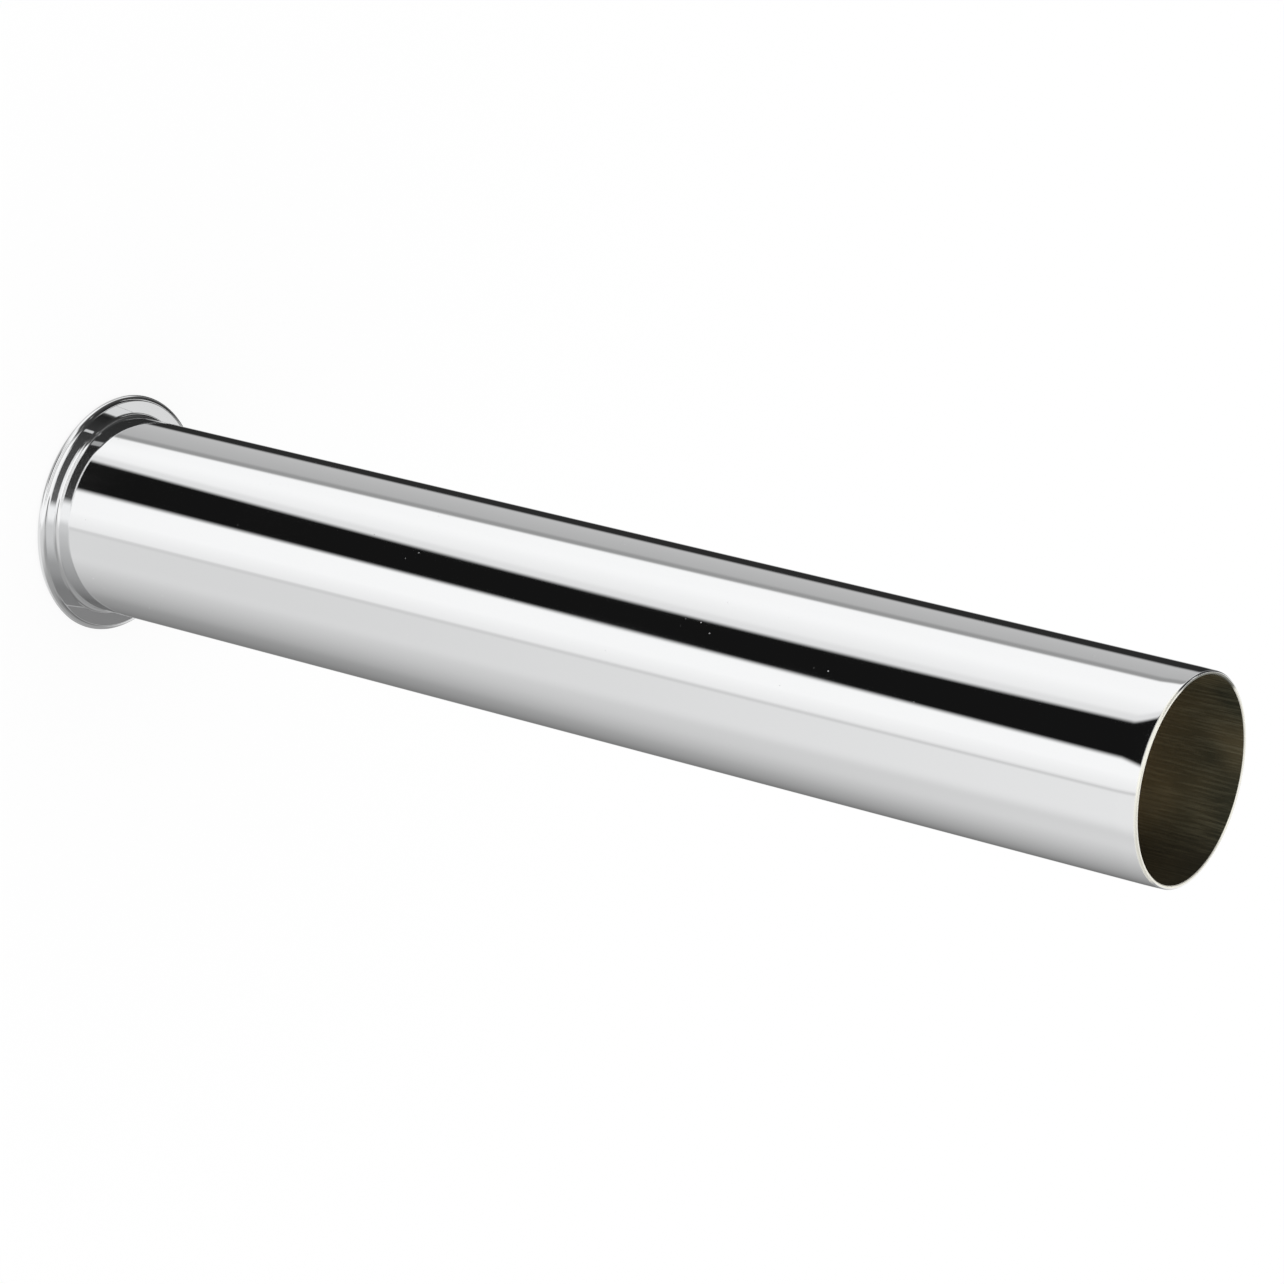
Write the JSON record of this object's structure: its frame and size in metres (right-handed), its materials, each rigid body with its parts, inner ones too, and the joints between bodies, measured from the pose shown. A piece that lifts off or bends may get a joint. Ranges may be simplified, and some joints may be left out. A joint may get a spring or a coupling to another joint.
{
  "type": "basin waste tail pipe",
  "caption": "Straight thin-walled chromed brass tail pipe with a folded flange round one end and a square polished cut end, for joining a basin waste to its trap.",
  "frame": {"origin": "centre of the flange's flat seating face, on which the pipe stands", "axes": "+Z along the pipe from the flange to the plain cut end; X and Y are arbitrary round the axis"},
  "size_m": [0.0388, 0.0388, 0.2],
  "materials": {
    "chromed_brass": "bright polished chrome plate outside, bare drawn brass in the bore and on the cut end"
  },
  "bodies": {
    "root": {"tail_pipe": "chromed_brass"}
  },
  "joints": []
}
